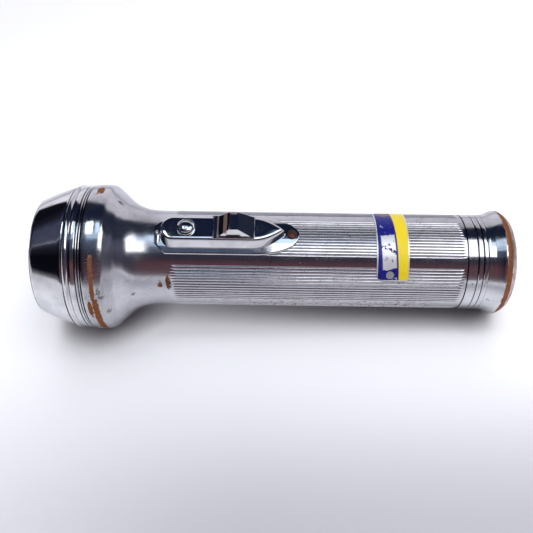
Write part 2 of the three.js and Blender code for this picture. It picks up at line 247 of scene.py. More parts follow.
def block_tool(x0, x1, half, low, high):
    corners = [(x, y, z) for x in (x0, x1) for y in (-half, half) for z in (low, high)]
    faces = [(0, 1, 3, 2), (4, 6, 7, 5), (0, 4, 5, 1), (2, 3, 7, 6), (0, 2, 6, 4), (1, 5, 7, 3)]
    return tool_mesh(corners, faces)


def round_tool(station, radius, low, high, sides=48):
    turn = [2 * math.pi * k / sides for k in range(sides)]
    ring = [(station + radius * math.cos(a), radius * math.sin(a)) for a in turn]
    vertices = [(x, y, z) for z in (low, high) for x, y in ring]
    faces = [(k, (k + 1) % sides, sides + (k + 1) % sides, sides + k) for k in range(sides)]
    return tool_mesh(vertices, faces + [tuple(range(sides)), tuple(range(sides, 2 * sides))])


# ---------------------------------------- material helpers
class Nodes:
    """Short forms for building the node tree of a material or a world."""

    def __init__(self, name, world=False):
        self.owner = (bpy.data.worlds if world else bpy.data.materials).new(name)
        self.owner.use_nodes = True
        self.tree = self.owner.node_tree
        self.shader = self.tree.nodes["Background" if world else "Principled BSDF"]

    def new(self, kind, settings=(), **inputs):
        node = self.tree.nodes.new(kind)
        for key, value in dict(settings).items():
            setattr(node, key, value)
        for key, value in inputs.items():
            self.feed(node.inputs[key.replace("_", " ")], value)
        return node

    def feed(self, socket, value):
        if isinstance(value, bpy.types.NodeSocket):
            self.tree.links.new(value, socket)
        else:
            socket.default_value = value

    def math(self, operation, *values, clamp=False):
        node = self.tree.nodes.new("ShaderNodeMath")
        node.operation = operation
        node.use_clamp = clamp
        for socket, value in zip(node.inputs, values):
            self.feed(socket, value)
        return node.outputs[0]

    def times(self, a, b):
        return self.math("MULTIPLY", a, b)

    def plus(self, a, b):
        return self.math("ADD", a, b)

    def minus(self, a, b):
        return self.math("SUBTRACT", a, b)

    def most(self, *shares):
        """The largest of several shares."""
        total = shares[0]
        for share in shares[1:]:
            total = self.math("MAXIMUM", total, share)
        return total

    def ramp(self, value, low, high, to_low=0.0, to_high=1.0, smooth=True):
        node = self.tree.nodes.new("ShaderNodeMapRange")
        node.interpolation_type = "SMOOTHSTEP" if smooth else "LINEAR"
        for socket, number in zip(node.inputs, (value, low, high, to_low, to_high)):
            self.feed(socket, number)
        return node.outputs[0]

    def between(self, value, low, high, soft):
        """1 inside low..high, fading over soft at both ends."""
        rise = self.ramp(value, low - soft, low + soft)
        fall = self.ramp(value, high - soft, high + soft, 1.0, 0.0)
        return self.times(rise, fall)

    def mix(self, share, a, b):
        node = self.tree.nodes.new("ShaderNodeMix")
        node.data_type = "RGBA"
        self.feed(node.inputs["Factor"], share)
        self.feed(node.inputs["A"], a)
        self.feed(node.inputs["B"], b)
        return node.outputs["Result"]

    def torch_place(self):
        """The point in the torch's frame in millimetres, its station, and its angle from the switch."""
        place = self.new("ShaderNodeTexCoord").outputs["Object"]
        mapping = self.new("ShaderNodeMapping", {"vector_type": "TEXTURE"}, Vector=place)
        mapping.inputs["Location"].default_value = TORCH.translation
        mapping.inputs["Rotation"].default_value = TORCH.to_euler("XYZ")
        mapping.inputs["Scale"].default_value = (MM, MM, MM)
        split = self.new("ShaderNodeSeparateXYZ", Vector=mapping.outputs[0])
        station, side, out = split.outputs
        angle = self.math("ARCTAN2", side, out)
        return mapping.outputs[0], station, angle

    def noise(self, vector, scale, detail=4.0, roughness=0.55, distortion=0.0, stretch=None):
        if stretch:
            scaled = self.new("ShaderNodeVectorMath", {"operation": "MULTIPLY"})
            self.feed(scaled.inputs[0], vector)
            scaled.inputs[1].default_value = stretch
            vector = scaled.outputs[0]
        node = self.new("ShaderNodeTexNoise", Vector=vector, Scale=scale, Detail=detail)
        node.inputs["Roughness"].default_value = roughness
        node.inputs["Distortion"].default_value = distortion
        return node.outputs["Fac"]

    def bump(self, height, strength, distance_mm, normal=None):
        node = self.new("ShaderNodeBump", Height=height, Strength=strength, Distance=distance_mm * MM)
        if normal is not None:
            self.feed(node.inputs["Normal"], normal)
        return node.outputs[0]

    def set(self, **inputs):
        for key, value in inputs.items():
            self.feed(self.shader.inputs[key.replace("_", " ")], value)
        return self.owner


# COPPER also colours the painted reflection on the thumb piece's slope.
COPPER = (0.31, 0.092, 0.013, 1)
RUST = (0.10, 0.040, 0.016, 1)
# Dark marks take this colour, and so does the switch's painted shade.
DIRT_AND_SHADE = (0.045, 0.038, 0.038, 1)


def pits_and_cracks(n, point, pit_scale, amount):
    """Small round pits, and hairline cracks in a few areas."""
    speck = n.new("ShaderNodeTexVoronoi", Vector=point, Scale=pit_scale, Randomness=1.0)
    reach = n.ramp(n.noise(point, 0.3, 3, 0.6), 0.43, 0.68, 0.0, 0.26)
    pits = n.times(n.math("LESS_THAN", speck.outputs["Distance"], reach), amount)
    line = n.math("ABSOLUTE", n.minus(n.noise(point, 0.42, 8, 0.68, 0.8), 0.5))
    zone = n.ramp(n.noise(point, 0.19, 3, 0.6), 0.60, 0.66)
    cracks = n.times(n.ramp(line, 0.0, 0.008, 1.0, 0.0), zone)
    return n.most(pits, n.times(cracks, amount))


def chrome(name, tint, rough_low, rough_high, wear_and_reflection, dirt_and_shade, dull=None,
           pit_amount=1.0, pit_scale=1.1, grain=0.16):
    """Old plate: hazed, finely scratched, pitted, cracked, and worn through and dirty where the two mask functions
    say; on the switch they also paint shade and a reflection.
    """
    n = Nodes(name)
    point, station, angle = n.torch_place()
    smudge = n.noise(point, 0.16, 5, 0.6, 0.4)
    fine = n.noise(point, 1.9, 6, 0.65)
    lengthwise = n.noise(point, 1.0, 5, 0.7, stretch=(0.12, 4.5, 4.5))
    crosswise = n.noise(point, 1.0, 4, 0.6, stretch=(6.0, 0.35, 0.35))
    wave = n.noise(point, 0.11, 2, 0.5)

    # Where the base metal shows, and where the plate is dirty; on the switch this also paints shade in the seams
    # and arch, and a reflection as copper streaks on the thumb piece's slope.
    worn = n.times(n.ramp(n.noise(point, 0.36, 7, 0.72, 0.5), 0.70, 0.74), 0.7 * pit_amount)
    worn = n.most(worn, wear_and_reflection(n, point, station, angle))
    grime_and_shade = n.ramp(n.noise(point, 0.7, 6, 0.75), 0.66, 0.80, 0.0, 0.6 * pit_amount)
    grime_and_shade = n.most(grime_and_shade, dirt_and_shade(n, point, station, angle))
    pits = pits_and_cracks(n, point, pit_scale, pit_amount)
    marks = n.math("MAXIMUM", pits, grime_and_shade, clamp=True)

    film = n.ramp(smudge, 0.38, 0.72)
    if dull is not None:
        film = n.plus(n.times(film, 0.6), dull(n, point, station, angle))
    dim = tuple(channel * 0.80 for channel in tint[:3]) + (1,)
    copper = n.mix(n.ramp(fine, 0.42, 0.62), COPPER, RUST)
    colour = n.mix(n.math("MINIMUM", film, 1.0), tint, dim)
    colour = n.mix(worn, colour, copper)
    colour = n.mix(marks, colour, DIRT_AND_SHADE)

    rough = n.ramp(film, 0.0, 1.6, rough_low, rough_high, smooth=False)
    rough = n.plus(rough, n.times(n.ramp(lengthwise, 0.5, 0.8), 0.08))
    rough = n.math("ADD", rough, n.times(worn, 0.38), clamp=True)

    metallic = n.minus(1.0, n.times(worn, 0.45))

    normal = n.bump(wave, 0.16, 0.25)
    normal = n.bump(n.plus(lengthwise, crosswise), grain, 0.02, normal)
    normal = n.bump(n.times(worn, n.plus(0.6, fine)), 0.3, -0.05, normal)
    edge_tint = n.mix(worn, tuple(0.25 + 0.75 * channel for channel in tint[:3]) + (1,), COPPER)
    return n.set(
        Base_Color=colour,
        Roughness=rough,
        Metallic=metallic,
        Normal=normal,
        Specular_Tint=edge_tint,
    )


# Where the plate is worn, dirty or matt, and where shade and a reflection are painted on the switch. Stations are
# in millimetres from the front rim; angles are in degrees round the axis from the switch, and negative ones are on
# the side that faces the front.
def degrees_window(n, angle, low_deg, high_deg, soft_deg):
    return n.between(angle, math.radians(low_deg), math.radians(high_deg), math.radians(soft_deg))


def torn(n, point, share, scale=0.5, strength=1.0):
    """A share broken up by noise, so that a worn band has a ragged edge and holes in it."""
    broken = n.minus(n.noise(point, scale, 8, 0.72, 0.4), 0.5)
    eaten = n.plus(share, n.times(broken, 2.6))
    return n.times(n.ramp(eaten, 0.48, 0.60), strength)


def from_axis(n, point):
    """How far a point is from the torch's axis, in millimetres."""
    _, side, out = n.new("ShaderNodeSeparateXYZ", Vector=point).outputs
    return n.math("SQRT", n.plus(n.times(side, side), n.times(out, out)))


def spot(n, station, angle, at, at_deg, long, wide_deg):
    """A soft oval share round a station and an angle."""
    along = n.math("DIVIDE", n.minus(station, at), long)
    across = n.math("DIVIDE", n.minus(angle, math.radians(at_deg)), math.radians(wide_deg))
    square = n.plus(n.times(along, along), n.times(across, across))
    return n.ramp(square, 0.2, 2.0, 1.0, 0.0)


def barrel_wear(n, point, station, angle):
    """The long rubbed streak on the head's band, a patch where the flutes start, and other bare spots."""
    upper = n.times(n.between(station, 23.1, 24.6, 0.25), degrees_window(n, angle, -62, -27, 5))
    lower = n.times(n.between(station, 23.2, 25.6, 0.7), degrees_window(n, angle, -112, -58, 10))
    tongue = spot(n, station, angle, 22.3, -72, 0.9, 9)
    crown = n.times(spot(n, station, angle, 23.9, 33, 1.4, 7), 0.82)
    patch = spot(n, station, angle, 49.7, -58, 0.9, 10)
    scrape = n.times(spot(n, station, angle, 46.7, -62, 1.1, 3), 0.7)
    under = n.times(n.between(station, 60.0, 155.0, 9.0), degrees_window(n, angle, -112, -78, 9))
    shares = (upper, lower, tongue, crown, patch, scrape, n.times(under, 0.34))
    return torn(n, point, n.most(*shares), 0.75, 0.94)


def barrel_dark_marks(n, point, station, angle):
    """Darker grooves' bottoms and seams, and small dark nicks."""
    deep = n.ramp(from_axis(n, point), BARREL_RADIUS - FLUTE_DEPTH, BARREL_RADIUS - 0.08, 0.5, 0.0)
    grip = n.between(station, 49.0, BARREL_END, 0.4)
    seam = n.between(station, BARREL_END - 0.1, BARREL_END + 1.5, 0.1)
    front = n.between(station, RING_END - 1.0, RING_END + 0.22, 0.08)
    places = ((31.3, 28, 1.1, 2.2), (26.0, -55, 0.7, 4), (26.9, -60, 1.3, 1.6), (28.4, -76, 1.0, 2.5),
              (36.6, -71, 0.9, 2.2), (46.9, -60, 0.5, 6), (50.6, -62, 0.5, 8), (49.6, -60, 0.7, 9))
    nicks = n.most(*[spot(n, station, angle, *place) for place in places])
    ragged = n.minus(n.noise(point, 1.6, 5, 0.75, 1.2), 0.5)
    nicks = n.ramp(n.plus(nicks, n.times(ragged, 4.5)), 0.75, 0.95, 0.0, 0.85)
    nicks = n.times(nicks, n.ramp(station, 23.0, 24.0))
    return n.most(n.times(deep, grip), seam, front, nicks)


def barrel_dull(n, point, station, angle):
    """Where the plate has gone matt: the band's front side and the grip's lower half."""
    band = n.times(n.between(station, 21.0, 30.5, 1.5), degrees_window(n, angle, -140, -22, 16))
    low = n.times(n.ramp(station, 28.0, 34.0), degrees_window(n, angle, -150, -52, 9))
    neck = n.times(n.between(station, 36.0, 48.0, 4.0), 0.45)
    return n.most(n.times(band, 0.8), n.times(low, 0.45), neck)


def ring_wear(n, point, station, angle):
    """A torn edge behind the cone, low in front, and a little copper round the front rim."""
    edge = n.times(n.between(station, 13.0, 13.5, 0.3), degrees_window(n, angle, -128, -52, 10))
    shade = n.ramp(n.noise(point, 0.5, 5, 0.7), 0.40, 0.70, 0.0, 0.45)
    rim = n.times(n.between(station, -0.5, 0.6, 0.3), shade)
    return n.most(torn(n, point, n.times(edge, 0.8), 0.9, 0.8), rim)


def ring_dark_lines(n, point, station, angle):
    """Dark lines beside the beads."""
    lines = [n.between(station, line - 0.14, line + 0.14, 0.08) for line in (13.3, 15.75, 18.05, 19.12)]
    return n.times(n.most(*lines), 0.85)


def tail_wear(n, point, station, angle):
    """The flared end is worn to copper all round, and its rim partly."""
    ring = torn(n, point, n.between(station, 174.9, 177.2, 0.5), 0.8, 0.95)
    shade = n.ramp(n.noise(point, 0.5, 5, 0.7), 0.35, 0.65, 0.25, 0.65)
    rim = n.times(n.ramp(station, 177.0, 177.6), n.ramp(from_axis(n, point), 15.0, 17.6))
    return n.most(ring, n.times(rim, shade))


def tail_dark_lines(n, point, station, angle):
    """Dark lines in the two grooves, at the flare's foot and in the seam."""
    lines = [n.between(station, line - 0.13, line + 0.13, 0.08) for line in (164.8, 166.9)]
    faint = n.times(n.between(station, 168.5, 168.8, 0.15), 0.4)
    seam = n.between(station, BARREL_END - 1.0, BARREL_END + 0.35, 0.08)
    return n.most(*lines, faint, seam)


def switch_wear_and_painted_reflection(n, point, station, angle):
    """A painted reflection of something orange, in copper colour, as two streaks across the thumb piece's front
    slope, and bare copper on top of its ridge.
    """
    _, side, height = n.new("ShaderNodeSeparateXYZ", Vector=point).outputs
    slope = n.times(n.between(station, 70.7, 72.0, 0.12), n.between(height, 26.1, 28.2, 0.3))
    foot = n.times(n.between(station, 68.3, 68.8, 0.1), n.between(height, 24.2, 25.3, 0.2))
    crest = n.times(n.ramp(side, 2.6, 3.2), n.ramp(height, 28.2, 28.5))
    crest = n.times(n.between(station, 73.2, 75.6, 0.4), crest)
    return n.times(n.most(slope, n.times(foot, 0.7), crest), 0.8)


def switch_painted_shade(n, point, station, angle):
    """Painted shade: a dark patch low on the thumb piece's cheeks in place of the shadowed arch, a shaded seam
    under the thumb piece's foot, and a dark edge round the saddle plate where it meets the barrel.
    """
    split = n.new("ShaderNodeSeparateXYZ", Vector=point)
    wide, height = n.math("ABSOLUTE", split.outputs[1]), split.outputs[2]
    arch = n.times(n.between(station, 71.7, 76.8, 0.4), n.between(height, 24.3, 25.5, 0.15))
    arch = n.times(arch, n.ramp(wide, 3.7, 3.8))
    under_thumb = n.between(station, THUMB_FRONT, THUMB_BACK, 0.2)
    seam = n.times(under_thumb, n.between(height, COVER_TOP, COVER_TOP + 0.22, 0.05))
    wall = n.ramp(from_axis(n, point), 19.0, 19.12, 0.9, 0.0)
    return n.most(arch, wall, n.times(seam, 0.8))


def plain_metal(name, colour, dark, roughness, scale=0.9):
    """Brushed or cast small metal parts: mottled, with a fine grain."""
    n = Nodes(name)
    point, _, _ = n.torch_place()
    mottle = n.noise(point, scale, 6, 0.65, 0.3)
    grain = n.noise(point, 3.0, 4, 0.6, stretch=(0.3, 2.5, 2.5))
    return n.set(
        Base_Color=n.mix(n.ramp(mottle, 0.38, 0.68), colour, dark),
        Roughness=n.ramp(mottle, 0.3, 0.7, roughness, roughness + 0.25),
        Metallic=0.9,
        Normal=n.bump(grain, 0.3, 0.03),
    )


def matt(name, colour, dark, roughness, scale=1.2):
    """Rubber, fibre, card, pitch and the like: matt, mottled and slightly uneven."""
    n = Nodes(name)
    point, _, _ = n.torch_place()
    mottle = n.noise(point, scale, 7, 0.7)
    return n.set(
        Base_Color=n.mix(n.ramp(mottle, 0.35, 0.7), colour, dark),
        Roughness=n.ramp(mottle, 0.3, 0.7, roughness - 0.1, roughness + 0.1),
        Normal=n.bump(mottle, 0.4, 0.08),
    )


def clear_glass(name, tint, dust):
    n = Nodes(name)
    point, _, _ = n.torch_place()
    film = n.noise(point, 0.25, 6, 0.65)
    scratch = n.noise(point, 1.2, 4, 0.7, stretch=(1.0, 0.3, 3.5))
    return n.set(
        Base_Color=tint,
        Roughness=n.ramp(film, 0.4, 0.8, 0.01, dust),
        Transmission_Weight=1.0,
        IOR=1.5,
        Normal=n.bump(scratch, 0.05, 0.02),
    )


def within(n, station, arc, at_station, at_arc, radius):
    """1 inside a small disc on the barrel's unrolled surface."""
    place = n.new("ShaderNodeCombineXYZ", X=station, Y=arc)
    apart = n.new("ShaderNodeVectorMath", {"operation": "DISTANCE"})
    n.feed(apart.inputs[0], place.outputs[0])
    apart.inputs[1].default_value = (at_station, at_arc, 0)
    return n.math("LESS_THAN", apart.outputs["Value"], radius)


def label_foil():
    """A blue and a yellow field with a pale edge; worn silver patches take the place of any print."""
    n = Nodes("label_foil_look")
    point, station, angle = n.torch_place()
    arc = n.times(angle, BARREL_RADIUS)
    half_arc = math.radians(LABEL_HALF_ARC_DEG) * BARREL_RADIUS
    border = n.plus(station, n.times(arc, 0.055))
    is_yellow = n.math("GREATER_THAN", border, LABEL_FRONT + 7.4)
    from_front = n.minus(station, LABEL_FRONT)
    to_back = n.minus(LABEL_BACK, station)
    from_end = n.minus(half_arc, n.math("ABSOLUTE", arc))
    edge = n.math("MINIMUM", n.math("MINIMUM", from_front, to_back), from_end)
    is_edge = n.math("LESS_THAN", edge, 0.42)
    blotch = n.noise(point, 0.30, 5, 0.68, 0.3)
    lower_half = n.times(degrees_window(n, angle, -38, 4, 5), 0.235)
    rubbed = n.ramp(n.plus(blotch, lower_half), 0.63, 0.66)
    middle = n.between(border, LABEL_FRONT + 1.6, LABEL_FRONT + 6.7, 0.25)
    blue_rub = n.times(rubbed, middle)
    scuff = n.ramp(n.noise(point, 1.3, 5, 0.7), 0.65, 0.69, 0.0, 0.6)
    speck = n.times(n.ramp(n.noise(point, 0.8, 5, 0.7, 0.8), 0.66, 0.72), 0.5)
    silver = (0.66, 0.67, 0.70, 1)
    blue = n.mix(n.most(blue_rub, scuff), (0.004, 0.006, 0.135, 1), silver)
    yellow = n.mix(speck, (0.64, 0.49, 0.010, 1), (0.20, 0.16, 0.08, 1))
    is_disc = within(n, station, arc, LABEL_FRONT + 5.0, 2.4 - half_arc, 1.45)
    colour = n.mix(is_yellow, blue, yellow)
    colour = n.mix(is_edge, colour, silver)
    colour = n.mix(is_disc, colour, (0.36, 0.36, 0.37, 1))
    stain = torn(n, point, spot(n, station, angle, LABEL_FRONT + 3.6, 42, 2.0, 7))
    colour = n.mix(stain, colour, (0.10, 0.055, 0.045, 1))
    bare = n.most(is_edge, is_disc, blue_rub)
    return n.set(
        Base_Color=colour,
        Metallic=n.times(bare, 0.6),
        Specular_IOR_Level=0.35,
        Roughness=n.ramp(blotch, 0.3, 0.7, 0.26, 0.42),
        Normal=n.bump(n.noise(point, 1.0, 4, 0.6), 0.25, 0.05),
    )


SHELL = chrome("barrel_plate", (0.64, 0.642, 0.68, 1), 0.11, 0.34, barrel_wear, barrel_dark_marks,
               barrel_dull, pit_scale=1.6)
RING = chrome("ring_plate", (0.75, 0.755, 0.78, 1), 0.06, 0.16, ring_wear, ring_dark_lines,
              pit_amount=0.7, pit_scale=1.9, grain=0.3)
TAIL = chrome("tail_plate", (0.66, 0.665, 0.695, 1), 0.10, 0.26, tail_wear, tail_dark_lines)
# The switch's finish also carries painted shade at its seams and under the thumb piece, and a painted reflection
# on the thumb piece's slope.
SWITCH = chrome("switch_plate_finish", (0.72, 0.725, 0.75, 1), 0.05, 0.15, switch_wear_and_painted_reflection, switch_painted_shade,
                pit_amount=0.12, grain=0.04)
COPPER_RIVET = plain_metal("rivet_finish", (0.13, 0.058, 0.040, 1), (0.06, 0.026, 0.020, 1), 0.40, 0.6)
BRASS = plain_metal("brass_finish", (0.55, 0.38, 0.14, 1), (0.30, 0.19, 0.07, 1), 0.28)
STEEL = plain_metal("steel_finish", (0.42, 0.43, 0.45, 1), (0.20, 0.20, 0.21, 1), 0.30)
ZINC = plain_metal("zinc_finish", (0.40, 0.41, 0.42, 1), (0.24, 0.24, 0.25, 1), 0.42)
SILVER = plain_metal("reflector_finish", (0.86, 0.86, 0.85, 1), (0.74, 0.73, 0.70, 1), 0.04, 0.3)
RUBBER = matt("gasket_rubber_look", (0.030, 0.029, 0.028, 1), (0.012, 0.012, 0.012, 1), 0.75)
FIBRE = matt("fibre_look", (0.20, 0.06, 0.03, 1), (0.10, 0.03, 0.02, 1), 0.7)
PITCH = matt("pitch_look", (0.02, 0.017, 0.015, 1), (0.008, 0.007, 0.007, 1), 0.4)
MIX = matt("cell_mix_look", (0.015, 0.015, 0.015, 1), (0.004, 0.004, 0.004, 1), 0.9)
CARD = matt("cell_card_look", (0.05, 0.10, 0.24, 1), (0.03, 0.06, 0.15, 1), 0.7)
LENS_GLASS = clear_glass("lens_glass_look", (0.95, 0.98, 0.97, 1), 0.10)
BULB_GLASS = clear_glass("bulb_glass_look", (0.98, 0.99, 1.0, 1), 0.03)
LABEL = label_foil()


# ---------------------------------------- head
def lens_ring():
    def cone(station):
        """The cone's radius at a station: very slightly bulged."""
        first, last, thin, thick, bulge = 0.8, 13.1, 22.85, 27.5, 0.24
        share = (station - first) / (last - first)
        return thin + (thick - thin) * share + bulge * 4 * share * (1 - share)

    front = soften([(1.3, 20.7, 0), (0.0, 20.7, 0.25), (0.0, cone(0.0), 0.25)])
    face = [(s, cone(s)) for s in (0.8, 1.5, 2.5, 4.0, 5.5, 7.0, 8.5, 10.0, 11.5, 12.6)]
    first = [(13.15, 27.35), (13.35, 27.3), *bead(13.5, 15.55, 27.45, 28.12)]
    first += [(15.65, 27.45), (15.8, 27.45)]
    plain = [(15.95, 27.8), (16.4, 27.92), (17.5, 27.92), (17.85, 27.8), (18.0, 27.45), (18.1, 27.42)]
    pair = [*bead(18.15, 19.05, 27.5, 28.02), (19.12, 27.45), *bead(19.2, 20.0, 27.5, 28.05)]
    inside = [(20.05, 27.4), (20.05, 27.1), (13.0, 26.8), (1.3, 22.2)]
    outline = [*front, *face, *first, *plain, *pair, *inside]
    turned("ring_shell", outline, 192, RING, "ring", ["lens_ring"])


def optics():
    """The parabolic reflector, the front glass and its rubber seal."""
    focal, vertex = 6.0, 26.0
    stations = [6.0 + 18.5 * k / 22 for k in range(23)]
    bowl = [(s, math.sqrt(4 * focal * (vertex - s))) for s in stations]
    back = [(s + 0.45, r + 0.5) for s, r in reversed(bowl)]
    neck = [(26.9, 6.0), (26.9, 6.8), (24.95, 6.8)]
    outline = [(5.5, 22.9), (5.5, 22.1), *bowl, *neck, *back, (6.3, 22.9)]
    turned("reflector_bowl", outline, 128, SILVER, "lamp", ["reflector"])
    disc = soften([(3.0, 0, 0), (3.0, 22.4, 0.35), (5.2, 22.4, 0.35), (5.2, 0, 0)])
    turned("front_glass", disc, 128, LENS_GLASS, "lamp", ["lens"])
    seal = soften([(1.6, 20.9, 0.3), (1.6, 22.0, 0.3), (2.7, 22.0, 0.3), (2.7, 20.9, 0.3)])
    turned("lens_seal", seal, 128, RUBBER, "lamp", ["lens_gasket"])


def bulb():
    outer = spline([(13.0, 0), (13.4, 2.2), (14.6, 4.3), (17.0, 5.4), (19.5, 5.4), (22.5, 4.6),
                    (24.5, 4.1), (26.8, 4.1)], 5)
    inner = spline([(26.8, 3.6), (24.3, 3.6), (22.2, 4.1), (19.3, 4.9), (17.2, 4.9), (15.0, 3.9),
                    (13.9, 2.0), (13.5, 0)], 5)
    turned("bulb_envelope", [*outer, *inner], 48, BULB_GLASS, "lamp", ["bulb_glass"])


# ---------------------------------------- barrel
def flute_angles():
    """(angle, depth share) round the grip: groups of grooves with a plain band between each two."""
    groove = [(-0.5, 0), (-0.3, 0), (-0.23, 0.08), (-0.15, 0.40), (-0.07, 0.85),
              (0, 1), (0.07, 0.85), (0.15, 0.40), (0.23, 0.08), (0.3, 0)]
    span = FLUTES_PER_GROUP * FLUTE_PITCH_DEG
    turn = 360 / FLUTE_GROUPS
    out = []
    for group in range(FLUTE_GROUPS):
        start = turn * group - span / 2
        for i in range(FLUTES_PER_GROUP):
            middle = start + (i + 0.5) * FLUTE_PITCH_DEG
            out += [(math.radians(middle + shift * FLUTE_PITCH_DEG), share) for shift, share in groove]
        band = turn - span
        out += [(math.radians(start + span + band * k / 5), 0) for k in range(5)]
    return out


def barrel():
    around = flute_angles()
    thread = [(13.4, 25.7), (13.4, 26.2), (13.6, 26.4), (RING_END, 26.4)]
    band = soften([(RING_END, 26.4, 0), (RING_END, 28.1, 0.2)])[1:]
    band += spline([(20.4, 28.16), (21.6, 28.28), (23.0, HEAD_RADIUS), (24.5, 28.34), (25.8, 28.24),
                    (26.6, 28.1)], 3)
    shoulder = spline(
        [(26.6, 28.1), (27.2, 27.92), (27.8, 27.52), (28.5, 26.92), (29.5, 26.05), (30.6, 25.1),
         (31.7, 24.05), (32.9, 22.95), (34.3, 21.75), (35.8, 20.72), (37.6, 19.85), (40.0, 19.12),
         (43.0, 18.66), (BARREL_START, BARREL_RADIUS)], 4)[1:]
    fade = [(0, 0), (0.15, 0.04), (0.3, 0.16), (0.45, 0.36), (0.6, 0.6), (0.75, 0.82), (0.88, 0.95),
            (1, 1)]
    grip = [(50.2 + 2.8 * share, depth) for share, depth in fade]
    grip += [(station, 1) for station in (70, 90, 110, 135)]
    grip += [(160.6 - 2.6 * share, depth) for share, depth in reversed(fade)]
    end = soften([(160.7, BARREL_RADIUS, 0), (161.02, BARREL_RADIUS, 0.12), (161.02, 17.5, 0)])[1:]
    inside = [(169.3, 17.5), (169.5, 17.3), (169.5, 16.95), (159.2, 16.95), (158.2, 17.7),
              (BARREL_START, 17.7), (39.5, 18.3), (36.4, 19.4), (34.0, 21.0), (32.3, 22.75),
              (29.9, 25.4), (28.1, 26.8), (26.6, 27.25), (22.1, 27.3), (22.1, 25.7)]
    rows = [(s, r, 0) for s, r in [*thread, *band, *shoulder]]
    rows += [(s, BARREL_RADIUS, share) for s, share in grip]
    rows += [(s, r, 0) for s, r in [*end, *inside]]
    vertices = []
    for station, radius, share in rows:
        for angle, depth in around:
            reach = radius - FLUTE_DEPTH * depth * share
            vertices.append((station, reach * math.sin(angle), reach * math.cos(angle)))
    bm = from_faces(vertices, rows_to_faces(len(rows), len(around)))
    finish_mesh("barrel_shell", bm, SHELL, "case", ["barrel"], 48)


# ---------------------------------------- switch
def curve_points(start, c1, c2, end, steps):
    """Points of a cubic curve, without its start."""
    p0, p1, p2, p3 = (Vector(p) for p in (start, c1, c2, end))
    out = []
    for k in range(1, steps + 1):
        t = k / steps
        near_start = p0 * (1 - t) ** 3 + p1 * 3 * t * (1 - t) ** 2
        out.append(tuple(near_start + p2 * 3 * t * t * (1 - t) + p3 * t ** 3))
    return out


def saddle_plate():
    """The teardrop plate wrapped round the barrel, in columns as wide as its outline."""
    front, nose, half = 44.6, 98.5, 8.2
    full, taper = front + 4.2, nose - 16.5
    curve = curve_points((taper, half), (nose - 8.5, half), (nose - 0.2, 5.6), (nose, 0), 20)
    slant = [(0, 3.8), (0.25, 4.05), (0.5, 4.3), (1.1, 4.95), (1.8, 5.7), (2.6, 6.55)]
    columns = [(front + back, width) for back, width in slant]
    columns += [(full + (taper - full) * k / 8, half) for k in range(9)]
    columns += [*curve[:-1], (nose, 0.25)]
    upper = [k / 8 for k in range(8)] + [0.93, 0.955, 0.97, 0.985, 1]
    across = [-share for share in reversed(upper[1:])] + upper

    def drop(x, width, share):
        """How far the top has turned down at its rim and towards its front end."""
        at_side = max(0, 1 - width * (1 - abs(share)) / 0.45)
        at_front = max(0, 1 - (x - front) / 1.6)
        return max(0.4 * at_side ** 2, 0.62 * at_front ** 2)

    vertices = []
    for is_top in (1, 0):
        for x, width in columns:
            for share in across:
                radius = PLATE_RADIUS - drop(x, width, share) if is_top else 18.8
                angle = width * share / PLATE_RADIUS
                vertices.append((x, radius * math.sin(angle), radius * math.cos(angle)))
    bm = sheet(vertices, len(columns), len(across))
    finish_mesh("switch_saddle", bm, SWITCH, "case", ["switch_plate"])


def cover_outline(inset, flare=0.0):
    """The cover's outline at an inset, round in front, pointed behind; flare widens its foot."""
    half, middle = 4.8 - inset, 70
    tip = 92.6 - 2.2 * inset
    start, taper = 47.4 + inset + half, tip - 11.5
    wide, long = 1 + 0.23 * flare, 1 + 0.03 * flare
    turn = [math.pi / 2 + math.pi * k / 24 for k in range(25)]
    nose = [(start + half * math.cos(a), half * math.sin(a)) for a in turn]
    lower = [(start + (taper - start) * k / 10, -half) for k in range(1, 11)]
    lower += curve_points((taper, -half), (tip - 7.0, -half), (tip - 3.0, -2.4), (tip, 0), 16)
    upper = [(x, -y) for x, y in reversed(lower[:-1])]
    return [(middle + (x - middle) * long, y * wide) for x, y in [*nose, *lower, *upper]]


def on_seat(outline):
    """An outline laid on the saddle plate's round top."""
    seat = PLATE_RADIUS + 0.12
    return [(x, y, math.sqrt(seat ** 2 - y * y)) for x, y in outline]


def cover_sag(x):
    """How far the cover's top falls towards its two ends."""
    return 0.16 * min(1, max(0, (52.2 - x) / 4.8, (x - 85.0) / 7.6))


def cover_skin():
    """Loops of the cover's outside, from its foot up its walls and in over its top."""
    edge = 0.95
    loops = []
    for flare in (1.0, 0.92, 0.75, 0.5, 0.3):
        foot = on_seat(cover_outline(0, flare))
        loops.append([(x, y, z + (1 - flare) * (COVER_TOP - z)) for x, y, z in foot])
    for k in range(7):
        turn = math.pi / 2 * k / 6
        level = COVER_TOP - edge * (1 - math.sin(turn))
        outline = cover_outline(edge * (1 - math.cos(turn)), 0.2 * (1 - k / 6))
        loops.append([(x, y, level - cover_sag(x)) for x, y in outline])
    for inset, share in ((0.3, 0.6), (0.8, 0.2), (1.4, 0.0), (1.5, 0.0)):
        outline = cover_outline(edge + inset)
        loops.append([(x, y, COVER_TOP - share * cover_sag(x)) for x, y in outline])
    return loops


